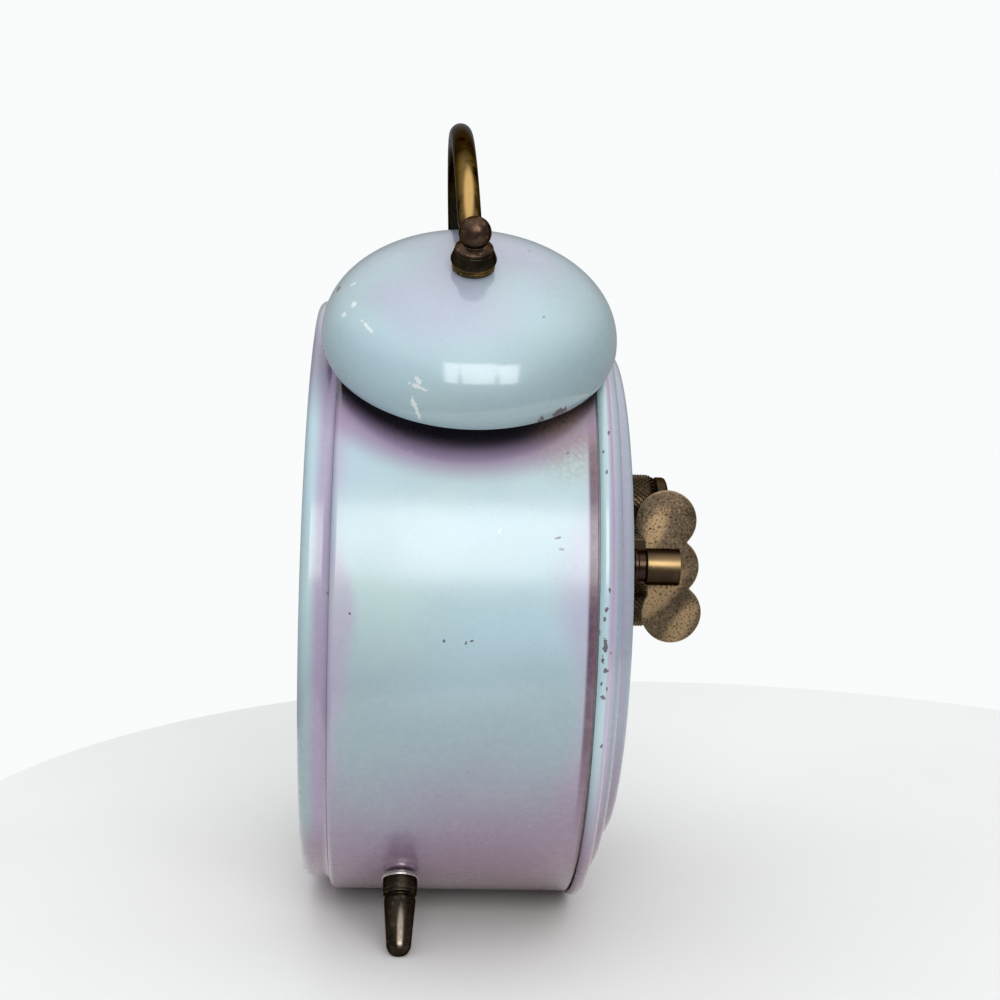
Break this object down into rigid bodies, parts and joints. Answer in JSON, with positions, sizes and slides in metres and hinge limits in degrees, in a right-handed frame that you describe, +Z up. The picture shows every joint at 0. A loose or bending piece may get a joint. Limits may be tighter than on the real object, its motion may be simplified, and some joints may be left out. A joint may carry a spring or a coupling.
{
  "type": "twin bell alarm clock",
  "caption": "Hand-wound alarm clock: round drum case on two peg feet and its back rim, bells with a hammer between them under an arched handle, winding keys and setting knobs at the back.",
  "frame": {"origin": "centre of the bounding box at the surface the clock stands on", "axes": "+Z up, dial facing -Y, +X to the right of a person facing the dial"},
  "size_m": [0.1114, 0.0714, 0.1414],
  "materials": {
    "case_paint": "pale blue-grey enamel, glossy, worn at the edges",
    "crystal_glass": "clear domed glass",
    "dial_face": "matt off-white dial",
    "aged_brass": "brass with a dark patina",
    "bright_steel": "turned steel",
    "key_bronze": "stamped brass, dull and speckled",
    "knob_bronze": "knurled brass, dark",
    "movement_brass": "stamped brass",
    "spring_steel": "blued spring steel",
    "hand_black": "black lacquer",
    "alarm_red": "red lacquer"
  },
  "bodies": {
    "case": {"case_drum": "case_paint", "front_bezel": "case_paint", "crystal": "crystal_glass", "dial_plate": "dial_face", "back_cover": "case_paint", "handle": "aged_brass", "front_plate": "movement_brass", "back_plate": "movement_brass", "bell_right": "case_paint", "bell_post_right": "bright_steel", "bell_washer_right": "aged_brass", "ball_nut_right": "aged_brass", "foot_right": "aged_brass", "foot_washer_right": "bright_steel", "bell_left": "case_paint", "bell_post_left": "bright_steel", "bell_washer_left": "aged_brass", "ball_nut_left": "aged_brass", "foot_left": "aged_brass", "foot_washer_left": "bright_steel", "pillar_top_right": "bright_steel", "pillar_top_left": "bright_steel", "pillar_bottom_left": "bright_steel", "pillar_bottom_right": "bright_steel", "time_mainspring": "spring_steel", "alarm_mainspring": "spring_steel", "hairspring": "spring_steel"},
    "time_key": {"time_arbor": "bright_steel", "time_key_barrel": "key_bronze", "time_key_wings": "key_bronze"},
    "alarm_key": {"alarm_arbor": "bright_steel", "alarm_key_barrel": "key_bronze", "alarm_key_wings": "key_bronze"},
    "hands": {"centre_arbor": "bright_steel", "minute_hand": "hand_black", "time_set_knob": "knob_bronze"},
    "minute_wheel": {"minute_wheel": "movement_brass"},
    "hour": {"hour_wheel": "movement_brass", "hour_hand": "hand_black"},
    "alarm_wheel": {"alarm_wheel": "movement_brass"},
    "alarm_setting": {"alarm_set_arbor": "bright_steel", "alarm_set_knob": "knob_bronze", "alarm_hand": "alarm_red"},
    "third_wheel": {"third_wheel": "movement_brass"},
    "centre_wheel": {"centre_wheel": "movement_brass"},
    "time_great_wheel": {"time_great_wheel": "movement_brass"},
    "fourth_wheel": {"fourth_wheel": "movement_brass"},
    "escape_wheel": {"escape_wheel": "movement_brass"},
    "pallet_lever": {"pallet_lever": "bright_steel"},
    "balance": {"balance_wheel": "movement_brass"},
    "time_click": {"time_click": "bright_steel"},
    "alarm_great_wheel": {"alarm_great_wheel": "movement_brass"},
    "alarm_click": {"alarm_click": "bright_steel"},
    "alarm_escape_wheel": {"alarm_escape_wheel": "movement_brass"},
    "hammer": {"hammer_arm": "bright_steel", "hammer_head": "bright_steel"},
    "alarm_stop": {"alarm_stop": "bright_steel"}
  },
  "joints": [
    {"name": "time_winding", "type": "hinge", "parent": "case", "child": "time_key", "pos_m": [0.022, 0, 0.06393], "axis": [0, 1, 0], "continuous": true, "deforming": ["time_mainspring"]},
    {"name": "alarm_winding", "type": "hinge", "parent": "case", "child": "alarm_key", "pos_m": [-0.022, 0, 0.06393], "axis": [0, 1, 0], "continuous": true, "deforming": ["alarm_mainspring"]},
    {"name": "time_setting", "type": "hinge", "parent": "case", "child": "hands", "pos_m": [0, 0, 0.05573], "axis": [0, 1, 0], "continuous": true},
    {"name": "minute_wheel_turn", "type": "hinge", "parent": "case", "child": "minute_wheel", "pos_m": [0.00513, 0, 0.04685], "axis": [0, 1, 0], "continuous": true},
    {"name": "hour_turn", "type": "hinge", "parent": "case", "child": "hour", "pos_m": [0, 0, 0.05573], "axis": [0, 1, 0], "continuous": true},
    {"name": "alarm_wheel_turn", "type": "hinge", "parent": "case", "child": "alarm_wheel", "pos_m": [0, 0, 0.07213], "axis": [0, 1, 0], "continuous": true},
    {"name": "alarm_setting", "type": "hinge", "parent": "case", "child": "alarm_setting", "pos_m": [0, 0, 0.07213], "axis": [0, 1, 0], "continuous": true},
    {"name": "third_wheel_turn", "type": "hinge", "parent": "case", "child": "third_wheel", "pos_m": [-0.00972, 0, 0.04415], "axis": [0, 1, 0], "continuous": true},
    {"name": "centre_wheel_turn", "type": "hinge", "parent": "case", "child": "centre_wheel", "pos_m": [0, 0, 0.05573], "axis": [0, 1, 0], "continuous": true},
    {"name": "time_great_wheel_turn", "type": "hinge", "parent": "case", "child": "time_great_wheel", "pos_m": [0.022, 0, 0.06393], "axis": [0, 1, 0], "continuous": true},
    {"name": "fourth_wheel_turn", "type": "hinge", "parent": "case", "child": "fourth_wheel", "pos_m": [0.00073, 0, 0.03683], "axis": [0, 1, 0], "continuous": true},
    {"name": "escape_wheel_turn", "type": "hinge", "parent": "case", "child": "escape_wheel", "pos_m": [0.00667, 0, 0.02655], "axis": [0, 1, 0], "continuous": true},
    {"name": "pallet_lever_rock", "type": "hinge", "parent": "case", "child": "pallet_lever", "pos_m": [0.01418, 0, 0.02381], "axis": [0, 1, 0], "range_deg": [-4, 4]},
    {"name": "balance_swing", "type": "hinge", "parent": "case", "child": "balance", "pos_m": [0.02305, 0, 0.02225], "axis": [0, 1, 0], "range_deg": [-240, 240], "stiffness_Nm_per_rad": 0.000005, "deforming": ["hairspring"]},
    {"name": "time_click_lift", "type": "hinge", "parent": "time_great_wheel", "child": "time_click", "pos_m": [0.022, 0, 0.07233], "axis": [0, 1, 0], "range_deg": [-15, 0]},
    {"name": "alarm_great_wheel_turn", "type": "hinge", "parent": "case", "child": "alarm_great_wheel", "pos_m": [-0.022, 0, 0.06393], "axis": [0, 1, 0], "continuous": true},
    {"name": "alarm_click_lift", "type": "hinge", "parent": "alarm_great_wheel", "child": "alarm_click", "pos_m": [-0.022, 0, 0.07233], "axis": [0, 1, 0], "range_deg": [-15, 0]},
    {"name": "alarm_escape_wheel_turn", "type": "hinge", "parent": "case", "child": "alarm_escape_wheel", "pos_m": [-0.009, 0, 0.08249], "axis": [0, 1, 0], "continuous": true},
    {"name": "hammer_swing", "type": "hinge", "parent": "case", "child": "hammer", "pos_m": [0, 0, 0.08973], "axis": [0, 1, 0], "range_deg": [-6, 6]},
    {"name": "alarm_stop_press", "type": "slide", "parent": "case", "child": "alarm_stop", "axis": [0, 0, -1], "range_m": [0, 0.003], "stiffness_N_per_m": 150}
  ],
  "couplings": [
    {"joint": "minute_wheel_turn", "follows": "time_setting", "ratio": -0.33333},
    {"joint": "hour_turn", "follows": "time_setting", "ratio": 0.083333},
    {"joint": "alarm_wheel_turn", "follows": "time_setting", "ratio": -0.083333},
    {"joint": "centre_wheel_turn", "follows": "third_wheel_turn", "ratio": -0.125},
    {"joint": "time_great_wheel_turn", "follows": "third_wheel_turn", "ratio": 0.020833},
    {"joint": "fourth_wheel_turn", "follows": "third_wheel_turn", "ratio": -7.5},
    {"joint": "escape_wheel_turn", "follows": "third_wheel_turn", "ratio": 60},
    {"joint": "alarm_escape_wheel_turn", "follows": "alarm_great_wheel_turn", "ratio": -5}
  ]
}
